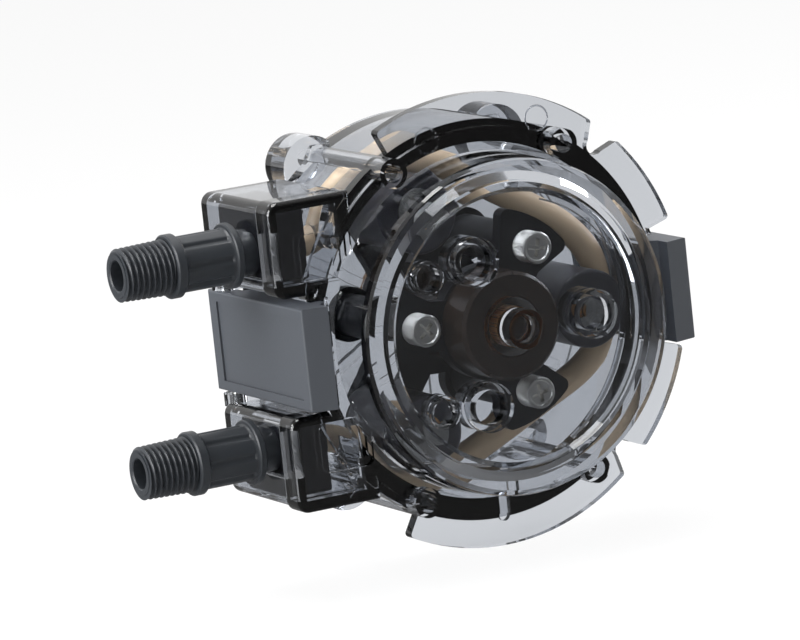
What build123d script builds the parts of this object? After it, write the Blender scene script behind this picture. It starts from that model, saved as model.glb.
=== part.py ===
from build123d import *
from math import cos, radians, sin
import os

# Peristaltic pump head: a clear cup-shaped housing with a domed clear cover, two side latches,
# two 1/4-18 NPT tube adaptors and a three-roller rotor that squeezes a flexible tube.
# Origin: on the rotor axis, in the plane of the four rear mounting pads.
# +Y points back towards the motor, -Y to the front cover, +Z up. The ports point towards -X.
# All sizes are millimetres.

# ---------------------------------------------------------------- driving dimensions
HEAD_DEPTH = 62.0          # rear pads to the front rim of the cover
PAD_HEIGHT = 8.0           # pads stand proud of the rear wall
REAR_WALL = 3.0
COVER_SEAM = 41.8          # rear pads to the seam between housing and cover
FLANGE_THICKNESS = 3.2
FLANGE_REACH = 6.4         # flange sectors, outside the housing's wall
FLANGE_ROOT_REACH = 0.5    # bottom of the flange notches, outside the housing's wall
STEP_INSET = 1.6           # raised step on the flange, inside the housing's wall
STEP_HEIGHT = 1.5
DOME_DRAFT = 1.3           # the dome widens by this much down to the flange
DOME_WALL = 3.7
RIM_WIDTH = 8.0            # front rim, outside the recessed front disc
DISC_RECESS = 2.0
DISC_THICKNESS = 2.4

TRACK_R = 42.6             # wall that the tube is squeezed against
TRACK_WALL = 5.4
FLAT_WALL = 2.6            # wall left at the side flats under the latches
FLAT_HALF_HEIGHT = 13.0

BOLT_INSET = 2.43          # mounting screw holes, inside the housing's outer wall
BOLT_HOLE_R = 2.25
BOLT_BOSS_R = 3.6
BOLT_BOSS_RISE = 5.0       # above the flange
PAD_R = 7.6
PAD_TURN = 3.0             # the pads sit this many degrees nearer the ports' axis than their holes
HEX_ACROSS_R = 4.7
REAR_RIB_WIDTH = 2.4
REAR_RIB_HEIGHT = 2.0

PORT_Z = 23.6              # height of each port axis above and below the rotor axis
PORT_Y = -27.3
BLOCK_REACH = 6.0          # port blocks, beyond the housing's outer wall
BLOCK_OVERLAP = 15.0       # port blocks, inside the housing's outer wall
BLOCK_LOW = 14.5
BLOCK_HIGH = 36.5
BLOCK_WALL = 2.2
BLOCK_FRONT = 46.0
BLOCK_SEAM = 39.3
BLOCK_BACK = 8.0
BLOCK_FILLET = 2.8
BLOCK_LIP = 0.5            # the cover's half stands this far outside the housing's half
WINDOW_WIDTH = 13.5
WINDOW_HEIGHT = 12.0

TUBE_R = 3.35
TUBE_BORE_R = 1.65
TUBE_TRACK_GAP = 0.25
TUBE_NIP = 2.9             # squeezed tube between a roller and the track
TUBE_INSET = 14.2          # tube ends, inside the blocks' outer faces
TUBE_BEND_RUN = 14.0       # straight run either side of a roller
TUBE_BEND_R = 14.0
DRAIN_WIDTH = 2.8

ROLLER_COUNT = 3
ROLLER_R = 9.5
ROLLER_LENGTH = 25.0
ROLLER_BACK = 16.2
ROTOR_ANGLE = -5.0         # direction of the first roller
ROLLER_BUSH_R = 4.5
AXLE_R = 3.0
CLIP_R = 5.0
CLIP_CLEARANCE = 2.4       # between the clips and the cover
RUNNING_GAP = 0.05

PLATE_BACK = 12.0          # rotor's rear plate
PLATE_THICKNESS = 3.5
PLATE_HUB_R = 16.0
PLATE_POST_R = 6.6
PLATE_LOBE_R = 7.5
SPIDER_BACK = 42.6         # rotor's front spider
SPIDER_THICKNESS = 3.7
SPIDER_ARM_R = 27.0
SPIDER_NECK_HALF_WIDTH = 6.0
SPIDER_TIP_HALF_WIDTH = 12.4
POST_PITCH_R = 20.0
POST_R = 5.0
HUB_R = 13.0
HUB_CORE_R = 11.0
HUB_FRONT = 57.0
SET_SCREW_DEPTH = 30.0
SET_SCREW_R = 2.5
SHAFT_R = 5.0              # bore for the motor shaft
SHAFT_DEPTH = 30.0
REAR_JOURNAL_R = 9.0
REAR_BUSH_R = 11.0
NOSE_R = 3.2
NOSE_RING_R = 4.7
NOSE_RING_BORE_R = 3.5
COVER_BUSH_R = 4.9
COVER_BUSH_LENGTH = 6.0
BUSH_BOSS_R = 7.0

SCREW_HEAD_R = 3.85
SCREW_HEAD_HEIGHT = 5.7
SCREW_SHANK_R = 2.0
SCREW_LENGTH = 12.0

LATCH_CLEARANCE = 0.4      # between a latch and the side flat
LATCH_THICKNESS = 6.2
LATCH_HALF_HEIGHT = 12.2
LATCH_FRONT = 54.2
LATCH_BACK = 2.0
LATCH_PIVOT_DEPTH = 3.8    # pin axis, outside the latch's inner face
LATCH_PIVOT_Y = -8.0
LATCH_PIN_R = 1.5
LUG_THICKNESS = 3.0
LUG_GAP = 0.4

NPT_R = 6.7                # 1/4-18 NPT at its large end
NPT_TAPER = 1 / 32         # radius per length
NPT_LENGTH = 12.7
STOP_R = 7.65
BARREL_R = 6.7
NECK_REACH = 4.0           # end of the barrel, beyond the port block
PORT_BORE_DEPTH = 26.1
END_DISC_R = 7.85
END_DISC_THICKNESS = 1.8
NECK_R = 5.5
PORT_BORE_R = 3.65
BARB_BORE_R = 1.1
ADAPTOR_REACH = 32.1       # end of the thread, beyond the port block

# ---------------------------------------------------------------- derived places
Y_FRONT = -HEAD_DEPTH
Y_DISC = Y_FRONT + DISC_RECESS
Y_SEAM = -COVER_SEAM
Y_FLANGE = Y_SEAM - FLANGE_THICKNESS
Y_REAR = -PAD_HEIGHT
Y_FLOOR = Y_REAR - REAR_WALL
HOUSING_R = TRACK_R + TRACK_WALL
SIDE_FLAT = TRACK_R + FLAT_WALL
FLANGE_R = HOUSING_R + FLANGE_REACH
FLANGE_ROOT_R = HOUSING_R + FLANGE_ROOT_REACH
STEP_R = HOUSING_R - STEP_INSET
BOLT_R = HOUSING_R - BOLT_INSET
BLOCK_LEFT = HOUSING_R + BLOCK_REACH
BLOCK_RIGHT = HOUSING_R - BLOCK_OVERLAP
BARREL_END = BLOCK_LEFT + NECK_REACH
PORT_END = BLOCK_LEFT + ADAPTOR_REACH
LATCH_INNER = SIDE_FLAT + LATCH_CLEARANCE
LATCH_OUTER = LATCH_INNER + LATCH_THICKNESS
LATCH_PIVOT_X = LATCH_INNER + LATCH_PIVOT_DEPTH
ROLLER_PITCH_R = TRACK_R - TUBE_NIP - ROLLER_R
CAVITY_R = ROLLER_PITCH_R + CLIP_R + CLIP_CLEARANCE
DOME_BASE_R = CAVITY_R + DOME_WALL
DOME_R = DOME_BASE_R - DOME_DRAFT
DISC_R = DOME_R - RIM_WIDTH
TUBE_LINE_R = TRACK_R - TUBE_TRACK_GAP - TUBE_R
COLLAR_R = PORT_Z - BLOCK_LOW - BLOCK_WALL - 0.2
BARB_R = TUBE_BORE_R - RUNNING_GAP
TUBE_START = BLOCK_LEFT - TUBE_INSET
LATCH_PIN_REACH = LATCH_HALF_HEIGHT + LUG_GAP + LUG_THICKNESS
Y_SPIDER = -SPIDER_BACK - SPIDER_THICKNESS
Y_PLATE = -PLATE_BACK - PLATE_THICKNESS
ROLLER_ANGLES = [ROTOR_ANGLE + 360 / ROLLER_COUNT * n for n in range(ROLLER_COUNT)]
ARM_ANGLES = [angle + 180 / ROLLER_COUNT for angle in ROLLER_ANGLES]
BOLT_ANGLES = [60, 120, -60, -120]
BOSS_ANGLES = [0, 120, -120]
SMALL_BOSS_ANGLES = [145, -142]
REAR_RIB_ANGLES = [0, 30, 90, 150, 180, 210, 270, 330]


# ---------------------------------------------------------------- helpers
def polar(radius, angle):
    """Point (x, z) at a radius and an angle in degrees, seen from the front."""
    return radius * cos(radians(angle)), radius * sin(radians(angle))


def rod(radius, y0, y1, x=0.0, z=0.0):
    """Cylinder along Y from y0 to y1."""
    return Pos(x, (y0 + y1) / 2, z) * Rot(90, 0, 0) * Cylinder(radius, abs(y1 - y0))


def ring(outer, inner, y0, y1, x=0.0, z=0.0):
    """Tube along Y from y0 to y1."""
    return rod(outer, y0, y1, x, z) - rod(inner, y0 - 1, y1 + 1, x, z)


def block(x0, x1, y0, y1, z0, z1):
    """Box between two corners."""
    centre = Pos((x0 + x1) / 2, (y0 + y1) / 2, (z0 + z1) / 2)
    return centre * Box(abs(x1 - x0), abs(y1 - y0), abs(z1 - z0))


def prism(sketch, y0, y1, taper=0.0):
    """Extrude a sketch drawn in X and Z from y1 forward to y0."""
    return extrude(Plane.XZ.offset(-y1) * sketch, abs(y1 - y0), taper=taper)


def turned_y(points):
    """Revolve an outline of (radius, y) points about the rotor axis."""
    return revolve(make_face(Polyline(*points, close=True)), Axis.Y)


def wedge(start, end, reach=200.0):
    """Pie slice of a plane, for cutting an annulus into a sector."""
    middle = (start + end) / 2
    rim = [polar(reach, angle) for angle in (start, (start + middle) / 2, middle, (end + middle) / 2, end)]
    return make_face(Polyline((0, 0), *rim, close=True))


def sector(inner, outer, start, end):
    """Part of an annulus between two angles."""
    return (Circle(outer) - Circle(inner)) & wedge(start, end)


def save(name, shape):
    """Write one node."""
    shape.label = name
    export_step(shape, f"parts/{name}.step")


# ---------------------------------------------------------------- housing
FLANGE_SECTORS = [(17.5, 116), (-118.7, -16)]
NOTCHES = [47.5, -48.2]


def beside_roller(angle, run):
    """Point on the tube line's tangent at a roller, a run clockwise of it."""
    x, z = polar(TUBE_LINE_R, angle)
    dx, dz = polar(run, angle - 90)
    return x + dx, z + dz


def tube_path():
    """Centre line of the tube, from the upper port round the rollers to the lower port."""
    right, upper, lower = ROLLER_ANGLES
    bend_x = -TUBE_START + 4.8
    route = [
        (-TUBE_START, PORT_Z), (bend_x, PORT_Z), beside_roller(upper, TUBE_BEND_RUN - 2),
        beside_roller(right, -TUBE_BEND_RUN), beside_roller(right, TUBE_BEND_RUN),
        beside_roller(lower, -TUBE_BEND_RUN), (bend_x, -PORT_Z), (-TUBE_START, -PORT_Z),
    ]
    bends = [8, TUBE_BEND_R, TUBE_BEND_R, TUBE_BEND_R, TUBE_BEND_R, 8]
    return FilletPolyline(*[(x, PORT_Y, z) for x, z in route], radius=bends)


def tube_sweep(radius):
    """Round bar of a given radius along the tube's centre line."""
    start = Plane(origin=(-TUBE_START, PORT_Y, PORT_Z), z_dir=(1, 0, 0))
    return sweep(start * Circle(radius), path=tube_path())


def port_block(y0, y1, side, lip=0.0, nose=0.0):
    """Outer form of one port block between two depths, with rounded edges."""
    low, high = sorted((side * (BLOCK_LOW - lip), side * (BLOCK_HIGH + lip)))
    body = block(-BLOCK_LEFT - lip, -BLOCK_RIGHT, y0, y1, low, high)
    body = fillet(body.edges().filter_by(Axis.Y).group_by(Axis.X)[0], BLOCK_FILLET)
    end = 0 if nose else -1
    return fillet(body.edges().group_by(Axis.Y)[end], nose or 1.2)


def port_cavity(y0, y1, side):
    """Hollow inside one port block."""
    low, high = sorted((side * (BLOCK_LOW + BLOCK_WALL), side * (BLOCK_HIGH - BLOCK_WALL)))
    return block(-BLOCK_LEFT + BLOCK_WALL, -BLOCK_RIGHT - 3, y0, y1, low, high)


def neck_slot(side):
    """Slot in the port block's end wall, open to the front, for the adaptor's neck."""
    reach = NECK_R + 0.2
    z = side * PORT_Z
    x0, x1 = -BLOCK_LEFT - 1, -BLOCK_LEFT + BLOCK_WALL + 0.01
    straight = block(x0, x1, -BLOCK_SEAM - 0.01, PORT_Y, z - reach, z + reach)
    end = Pos((x0 + x1) / 2, PORT_Y, z) * Rot(0, 90, 0) * Cylinder(reach, x1 - x0)
    return straight + end


def latch_zone(side, inner, y0, y1):
    """Space beside the housing that a latch works in."""
    x0, x1 = sorted((side * inner, side * 70))
    return block(x0, x1, y0, y1, -FLAT_HALF_HEIGHT, FLAT_HALF_HEIGHT)


def latch_lugs():
    """Four ears that hold the latch pins."""
    ears = []
    for side in (-1, 1):
        for up in (-1, 1):
            inner = LATCH_HALF_HEIGHT + LUG_GAP
            z0, z1 = sorted((up * inner, up * (inner + LUG_THICKNESS)))
            x0, x1 = sorted((side * (SIDE_FLAT - 3), side * (LATCH_PIVOT_X + 0.5)))
            ear = block(x0, x1, LATCH_PIVOT_Y - 4, LATCH_PIVOT_Y + 3.5, z0, z1)
            ear += Pos(side * LATCH_PIVOT_X, LATCH_PIVOT_Y, (z0 + z1) / 2) * Cylinder(3.5, LUG_THICKNESS)
            ears.append(ear)
    return ears


def rear_housing():
    """Clear cup with the tube track, port blocks, latch ears and mounting pads."""
    body = rod(HOUSING_R, Y_SEAM, Y_REAR)
    for side in (-1, 1):
        body += port_block(-BLOCK_SEAM, -BLOCK_BACK, side)
    for angle in BOLT_ANGLES:
        x, z = polar(BOLT_R, angle)
        body += rod(BOLT_BOSS_R, Y_SEAM, Y_REAR, x, z)
        body += Pos(x, 0, z) * prism(RegularPolygon(HEX_ACROSS_R, 6), Y_FLOOR - 1.8, Y_FLOOR + 1)
        turn = PAD_TURN if abs(angle) > 90 else -PAD_TURN
        pad_x, pad_z = polar(BOLT_R, angle + turn * (1 if angle > 0 else -1))
        pad = rod(PAD_R, Y_FLOOR, 0, pad_x, pad_z)
        body += fillet(pad.edges().group_by(Axis.Y)[-1], 1.2)
    body += ring(REAR_BUSH_R + 3, REAR_BUSH_R, Y_REAR - 0.5, Y_REAR + 3)
    for angle in REAR_RIB_ANGLES:
        rib = block(REAR_BUSH_R + 1, TRACK_R, Y_REAR - 0.5, Y_REAR + REAR_RIB_HEIGHT,
                    -REAR_RIB_WIDTH / 2, REAR_RIB_WIDTH / 2)
        body += Rot(0, -angle, 0) * rib
    for side in (-1, 1):
        body -= latch_zone(side, SIDE_FLAT, Y_SEAM - 1, 1)
    body -= rod(TRACK_R, Y_SEAM - 1, Y_FLOOR)
    for side in (-1, 1):
        body -= port_cavity(-BLOCK_SEAM - 1, -BLOCK_BACK - BLOCK_WALL, side)
        body -= neck_slot(side)
    body -= rod(REAR_BUSH_R, Y_FLOOR - 1, Y_REAR + 1)
    for angle in BOLT_ANGLES:
        x, z = polar(BOLT_R, angle)
        body -= rod(BOLT_HOLE_R, Y_SEAM - 1, 1, x, z)
    body -= tube_sweep(TUBE_R + 0.6)
    body -= rod(TRACK_R, Y_SEAM - 1, Y_FLOOR)
    for ear in latch_lugs():
        body += ear
    for side in (-1, 1):
        body -= Pos(side * LATCH_PIVOT_X, LATCH_PIVOT_Y, 0) * Cylinder(LATCH_PIN_R, 2 * LATCH_PIN_REACH)
    return body


def dome():
    """Domed shell of the cover, with its recessed front disc."""
    back = Y_DISC + DISC_THICKNESS
    return turned_y([
        (BUSH_BOSS_R - 1, Y_DISC), (DISC_R, Y_DISC), (DISC_R + 1.2, Y_FRONT + 0.6), (DISC_R + 3, Y_FRONT),
        (DOME_R - 1.6, Y_FRONT), (DOME_R - 0.4, Y_FRONT + 0.5), (DOME_R, Y_FRONT + 1.6),
        (DOME_BASE_R, Y_SEAM), (CAVITY_R, Y_SEAM), (CAVITY_R - 0.8, back + 2), (CAVITY_R - 2.8, back),
        (BUSH_BOSS_R - 1, back),
    ])


def hollow_boss(outer, inner, radius, angle, rise, depth):
    """Blind hollow boss on the front disc: its added ring, its added cup and its pocket."""
    x, z = polar(radius, angle)
    mouth, floor = Y_DISC - rise, Y_DISC + depth
    return rod(outer, mouth, floor, x, z), rod(inner, mouth - 1, floor - 1.2, x, z)


def notch(angle):
    """Round-bottomed notch in the flange that widens outwards."""
    bottom = Pos(*polar(FLANGE_ROOT_R + 1.4, angle)) * Circle(2.2)
    left = polar(FLANGE_ROOT_R + 1.4, angle + 2.6)
    right = polar(FLANGE_ROOT_R + 1.4, angle - 2.6)
    mouth_left = polar(FLANGE_R + 2, angle + 5.4)
    mouth_right = polar(FLANGE_R + 2, angle - 5.4)
    return bottom + make_face(Polyline(left, mouth_left, mouth_right, right, close=True))


def flange():
    """Flange with its outer sectors, notches and raised step."""
    outline = Circle(FLANGE_ROOT_R)
    for start, end in FLANGE_SECTORS:
        outline += sector(FLANGE_ROOT_R - 1, FLANGE_R, start, end)
    for angle in NOTCHES:
        outline -= notch(angle)
    plate = prism(outline, Y_FLANGE, Y_SEAM)
    corners = [edge for edge in plate.edges().filter_by(Axis.Y)
               if Vector(edge.center().X, 0, edge.center().Z).length > (FLANGE_R + FLANGE_ROOT_R) / 2]
    plate = fillet(corners, min(1.0, 0.2 * (FLANGE_R - FLANGE_ROOT_R)))
    plate += rod(STEP_R, Y_FLANGE - STEP_HEIGHT, Y_FLANGE)
    return plate


def window(side):
    """Rounded pocket on the front of a port block, with a wedge that slants into it."""
    x = -BLOCK_RIGHT - WINDOW_WIDTH / 2 - 1.0
    z = side * (PORT_Z - 1.2)
    front = -BLOCK_FRONT - BLOCK_LIP
    pocket = prism(Pos(x, z) * RectangleRounded(WINDOW_WIDTH, WINDOW_HEIGHT, 2.0), front - 0.1, front + 0.9)
    right = x + WINDOW_WIDTH / 2 - 1.0
    slope = make_face(Polyline((x - 1.0, front), (right, front), (right, front + 2.1), close=True))
    wedge_cut = extrude(slope, WINDOW_HEIGHT / 2 - 2.0, both=True)
    return pocket + Pos(0, 0, z) * wedge_cut


def front_cover():
    """Clear cover: dome, flange, block fronts, bosses and the seat of the front bush."""
    body = flange()
    body -= rod(CAVITY_R, Y_FLANGE - 5, Y_SEAM + 1)
    for side in (-1, 1):
        body += port_block(-BLOCK_FRONT - BLOCK_LIP, -BLOCK_SEAM, side, BLOCK_LIP, 1.6)
    body -= rod(CAVITY_R, Y_FLANGE - 5, Y_SEAM + 1)
    for side in (-1, 1):
        body -= port_cavity(-BLOCK_FRONT + BLOCK_WALL, Y_SEAM + 5, side)
        body -= window(side)
    body -= rod(HOUSING_R + 0.15, Y_SEAM, Y_SEAM + 5)
    body += dome()
    for angle in BOLT_ANGLES:
        x, z = polar(BOLT_R, angle)
        body += rod(BOLT_BOSS_R, Y_FLANGE - BOLT_BOSS_RISE, Y_SEAM, x, z)
    for side in (-1, 1):
        body -= latch_zone(side, SIDE_FLAT - 0.2, Y_FLANGE - 3, -BLOCK_SEAM + 1)
        body -= latch_zone(side, DOME_BASE_R + 0.3, Y_FLANGE - 3, Y_FLANGE)
    for angle in BOLT_ANGLES:
        x, z = polar(BOLT_R, angle)
        body -= rod(BOLT_HOLE_R, Y_FLANGE - BOLT_BOSS_RISE - 1, Y_SEAM + 1, x, z)
    bosses = [hollow_boss(5.9, 4.3, 20.0, angle, 2.6, 6.4) for angle in BOSS_ANGLES]
    bosses += [hollow_boss(4.0, 3.2, 27.0, angle, 1.0, 5.0) for angle in SMALL_BOSS_ANGLES]
    for cup, pocket in bosses:
        body += cup
    body += rod(BUSH_BOSS_R, Y_DISC, Y_DISC + 1.0 + COVER_BUSH_LENGTH)
    body += rod(NOSE_RING_R, Y_DISC - 5.0, Y_DISC + 0.9)
    for cup, pocket in bosses:
        body -= pocket
    body -= rod(NOSE_RING_BORE_R, Y_DISC - 6.0, Y_DISC - 0.6)
    body -= rod(COVER_BUSH_R, Y_DISC + 1.0, Y_DISC + 1.0 + COVER_BUSH_LENGTH + 1)
    slot = SlotOverall(HOUSING_R - CAVITY_R + 1.6, DRAIN_WIDTH, rotation=90)
    drain = Pos(0, -(CAVITY_R + HOUSING_R) / 2) * slot
    return body - prism(drain, Y_SEAM - 1.5, Y_SEAM + 0.1)


def cover_bush():
    """Bronze bush in the cover that steadies the rotor's nose."""
    start = Y_DISC + 1.0
    return ring(COVER_BUSH_R, NOSE_R + RUNNING_GAP, start, start + COVER_BUSH_LENGTH)


def rear_bush():
    """Bronze bush in the rear wall that carries the rotor's rear journal."""
    return ring(REAR_BUSH_R, REAR_JOURNAL_R + RUNNING_GAP, Y_FLOOR, Y_REAR)


# ---------------------------------------------------------------- rotor
def rotor_hub():
    """Hub with the motor shaft bore, a front nose and a rear journal."""
    body = rod(HUB_CORE_R, -HUB_FRONT, Y_PLATE)
    collar = rod(HUB_R, -HUB_FRONT, Y_SPIDER)
    body += chamfer(collar.edges().group_by(Axis.Y)[0], 0.8)
    body += rod(REAR_JOURNAL_R, Y_PLATE, Y_REAR + 1)
    body -= rod(BUSH_BOSS_R + 0.5, -HUB_FRONT - 1, -HUB_FRONT + 5)
    body += rod(NOSE_R, Y_DISC + 1.4, -HUB_FRONT + 6)
    body -= rod(SHAFT_R, Y_REAR + 1 - SHAFT_DEPTH, Y_REAR + 2)
    angle = ARM_ANGLES[0]
    x, z = polar(HUB_CORE_R, angle)
    length = 2 * (HUB_CORE_R - SHAFT_R) + 2
    hole = Pos(x, -SET_SCREW_DEPTH, z) * Rot(0, 90 - angle, 0) * Cylinder(SET_SCREW_R, length)
    return body - hole


def hub_set_screw():
    """Grub screw that grips the motor shaft."""
    angle = ARM_ANGLES[0]
    length = HUB_CORE_R - SHAFT_R - 0.8
    x, z = polar(SHAFT_R + 0.4 + length / 2, angle)
    socket_x, socket_z = polar(SHAFT_R + 0.4 + length, angle)
    turn = Rot(0, 90 - angle, 0)
    screw = Pos(x, -SET_SCREW_DEPTH, z) * turn * Cylinder(SET_SCREW_R, length)
    hexagon = extrude(RegularPolygon(1.25, 6), 2.0, both=True)
    socket = Pos(socket_x, -SET_SCREW_DEPTH, socket_z) * turn * hexagon
    return screw - socket


def rotor_rear_plate():
    """Six-lobed plate that carries the roller axles and posts."""
    outline = Circle(PLATE_HUB_R)
    for angle in ROLLER_ANGLES:
        lobe = Rectangle(ROLLER_PITCH_R, 2 * PLATE_LOBE_R, align=(Align.MIN, Align.CENTER))
        outline += Rot(0, 0, angle) * lobe
        outline += Pos(*polar(ROLLER_PITCH_R, angle)) * Circle(PLATE_LOBE_R)
    for angle in ARM_ANGLES:
        outline += Pos(*polar(POST_PITCH_R, angle)) * Circle(PLATE_POST_R)
    body = prism(outline, Y_PLATE, -PLATE_BACK)
    body -= rod(REAR_JOURNAL_R, Y_PLATE - 1, -PLATE_BACK + 1)
    for angle in ROLLER_ANGLES:
        x, z = polar(ROLLER_PITCH_R, angle)
        body -= rod(AXLE_R, Y_PLATE - 1, -PLATE_BACK + 1, x, z)
    return body


def rotor_spider():
    """Three-armed front plate whose arms widen towards their tips."""
    half = [(0, SPIDER_NECK_HALF_WIDTH), (HUB_R + 3, SPIDER_NECK_HALF_WIDTH),
            (SPIDER_ARM_R + 2, SPIDER_TIP_HALF_WIDTH)]
    arm = make_face(Polyline(*half, *[(x, -z) for x, z in reversed(half)], close=True))
    arm = arm & Circle(SPIDER_ARM_R)
    outline = Circle(HUB_R + 0.8)
    for angle in ARM_ANGLES:
        outline += Rot(0, 0, angle) * arm
    body = prism(outline, Y_SPIDER, -SPIDER_BACK)
    corners = [edge for edge in body.edges().filter_by(Axis.Y)
               if Vector(edge.center().X, 0, edge.center().Z).length > SPIDER_ARM_R - 0.5]
    body = fillet(corners, 2.0) - rod(HUB_CORE_R, Y_SPIDER - 1, -SPIDER_BACK + 1)
    for angle in ARM_ANGLES:
        x, z = polar(POST_PITCH_R, angle)
        body -= rod(SCREW_SHANK_R + 0.15, Y_SPIDER - 1, -SPIDER_BACK + 1, x, z)
    return body


def rotor_posts():
    """Three posts that space the spider from the rear plate."""
    posts = []
    for angle in ARM_ANGLES:
        x, z = polar(POST_PITCH_R, angle)
        post = rod(POST_R, -SPIDER_BACK, Y_PLATE, x, z)
        posts.append(post - rod(SCREW_SHANK_R, -SPIDER_BACK - 1, Y_SPIDER + SCREW_LENGTH, x, z))
    return Compound(children=posts)


def rotor_screws():
    """Three knurled cross-recessed screws."""
    screws = []
    for angle in ARM_ANGLES:
        x, z = polar(POST_PITCH_R, angle)
        top = Y_SPIDER - SCREW_HEAD_HEIGHT
        head = rod(SCREW_HEAD_R, top, Y_SPIDER, x, z)
        head = chamfer(head.edges().group_by(Axis.Y)[0], 0.5)
        screw = head + rod(SCREW_SHANK_R, Y_SPIDER, Y_SPIDER + SCREW_LENGTH, x, z)
        cross = Pos(x, top, z) * Rot(0, 45, 0) * (Box(4.4, 2.8, 0.9) + Box(0.9, 2.8, 4.4))
        screws.append(screw - cross)
    return Compound(children=screws)


def roller_axles():
    """Three shouldered pins pressed into the rear plate, each with a groove for its clip."""
    axles = []
    for angle in ROLLER_ANGLES:
        x, z = polar(ROLLER_PITCH_R, angle)
        tip = -ROLLER_BACK - ROLLER_LENGTH - 3.0
        axle = rod(AXLE_R, tip, -PLATE_BACK, x, z)
        axle -= ring(AXLE_R + 1, AXLE_R - 0.6, tip + 1.4, tip + 2.3, x, z)
        axle += rod(AXLE_R + 1.6, -ROLLER_BACK + 0.3, Y_PLATE, x, z)
        axles.append(axle)
    return Compound(children=axles)


def axle_clips():
    """Three open retaining clips on the axles."""
    clips = []
    for angle in ROLLER_ANGLES:
        x, z = polar(ROLLER_PITCH_R, angle)
        y0 = -ROLLER_BACK - ROLLER_LENGTH - 1.6
        clip = ring(CLIP_R, AXLE_R - 0.6, y0 + 0.05, y0 + 0.85, x, z)
        dx, dz = polar(AXLE_R + 1.5, angle + 180)
        clip -= Pos(x + dx, y0 + 0.4, z + dz) * Rot(0, -angle, 0) * Box(6, 3, 3.4)
        clips.append(clip)
    return Compound(children=clips)


def roller(angle):
    """Hard roller that squeezes the tube, with softened ends."""
    x, z = polar(ROLLER_PITCH_R, angle)
    y0 = -ROLLER_BACK - ROLLER_LENGTH
    body = rod(ROLLER_R, y0, -ROLLER_BACK, x, z)
    body = fillet(body.edges(), 1.0)
    return body - rod(ROLLER_BUSH_R, y0 - 1, 0, x, z)


def roller_bush(angle):
    """Plain bush pressed into a roller, running on the axle."""
    x, z = polar(ROLLER_PITCH_R, angle)
    return ring(ROLLER_BUSH_R, AXLE_R + RUNNING_GAP, -ROLLER_BACK - ROLLER_LENGTH, -ROLLER_BACK, x, z)


# ---------------------------------------------------------------- latches
def latch(side):
    """Side latch: a flat lever with a slanted nose, a hook over the cover and a recessed panel."""
    hook_back = Y_FLANGE - 0.3
    relief = LATCH_INNER + 1.8
    outline = [
        (LATCH_INNER, -LATCH_FRONT), (LATCH_OUTER, -LATCH_FRONT + 1.7), (LATCH_OUTER, -LATCH_BACK),
        (relief, -LATCH_BACK), (relief, LATCH_PIVOT_Y - 4), (LATCH_INNER, LATCH_PIVOT_Y - 6),
        (LATCH_INNER, hook_back), (LATCH_INNER - 2.5, hook_back), (LATCH_INNER - 2.5, hook_back - 2),
        (LATCH_INNER, hook_back - 4.5),
    ]
    face = make_face(Polyline(*[(side * x, y) for x, y in outline], close=True))
    body = extrude(face, LATCH_HALF_HEIGHT, both=True)
    outer = [edge for edge in body.edges() if abs(edge.center().X) > LATCH_OUTER - 0.1]
    body = fillet(outer, 0.6)
    panel = Pos(side * LATCH_OUTER, -(LATCH_FRONT + LATCH_BACK) / 2 + 0.5, 0)
    depth = LATCH_FRONT - LATCH_BACK
    body -= panel * Box(1.0, depth - 9.5, 2 * LATCH_HALF_HEIGHT - 5)
    bore = Cylinder(LATCH_PIN_R + RUNNING_GAP, 2 * LATCH_PIN_REACH)
    hole = Pos(side * LATCH_PIVOT_X, LATCH_PIVOT_Y, 0) * bore
    return body - hole


def latch_pins():
    """Two steel pins that the latches turn on."""
    pins = []
    for side in (-1, 1):
        pins.append(Pos(side * LATCH_PIVOT_X, LATCH_PIVOT_Y, 0) * Cylinder(LATCH_PIN_R, 2 * LATCH_PIN_REACH))
    return Compound(children=pins)


# ---------------------------------------------------------------- ports and tube
def adaptor(side):
    """Turned and moulded adaptor: NPT end, stop flange, barrel, disc, neck, collar and barb."""
    thread_start = PORT_END - NPT_LENGTH
    small = NPT_R - NPT_TAPER * NPT_LENGTH
    stop = 2.6
    disc_end = BARREL_END - END_DISC_THICKNESS
    neck_end = TUBE_START + 2.5
    profile = [
        (PORT_END, 0), (PORT_END, small - 0.9), (PORT_END - 0.9, small), (thread_start, NPT_R),
        (thread_start, STOP_R), (thread_start - stop, STOP_R), (thread_start - stop, BARREL_R),
        (BARREL_END, BARREL_R), (BARREL_END, END_DISC_R), (disc_end, END_DISC_R),
        (disc_end, NECK_R), (neck_end, NECK_R), (neck_end, COLLAR_R),
        (TUBE_START + 0.2, COLLAR_R), (TUBE_START + 0.2, BARB_R), (TUBE_START - 4, BARB_R),
        (TUBE_START - 4, 0),
    ]
    body = revolve(make_face(Polyline(*[(-x, r) for x, r in profile], close=True)), Axis.X)
    along = Rot(0, 90, 0)
    body -= Pos(-PORT_END, 0, 0) * along * Cylinder(PORT_BORE_R, 2 * PORT_BORE_DEPTH)
    body -= Pos(-TUBE_START, 0, 0) * along * Cylinder(BARB_BORE_R, 2 * (PORT_END - TUBE_START) - 1)
    return Pos(0, PORT_Y, side * PORT_Z) * body


def adaptor_clip(side):
    """Black insert that locks an adaptor's neck in its port block."""
    x0, x1 = -BLOCK_LEFT + BLOCK_WALL + 0.2, -TUBE_START - 2.7
    low = side * (BLOCK_LOW + BLOCK_WALL + 0.2)
    high = side * (BLOCK_HIGH - BLOCK_WALL - 0.2)
    body = block(x0, x1, -BLOCK_SEAM + 0.8, PORT_Y * 2 + BLOCK_SEAM - 0.8, min(low, high), max(low, high))
    body = fillet(body.edges().filter_by(Axis.X), 1.0)
    return body - Pos((x0 + x1) / 2, PORT_Y, side * PORT_Z) * Rot(0, 90, 0) * Cylinder(NECK_R, 2 * (x1 - x0))


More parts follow.
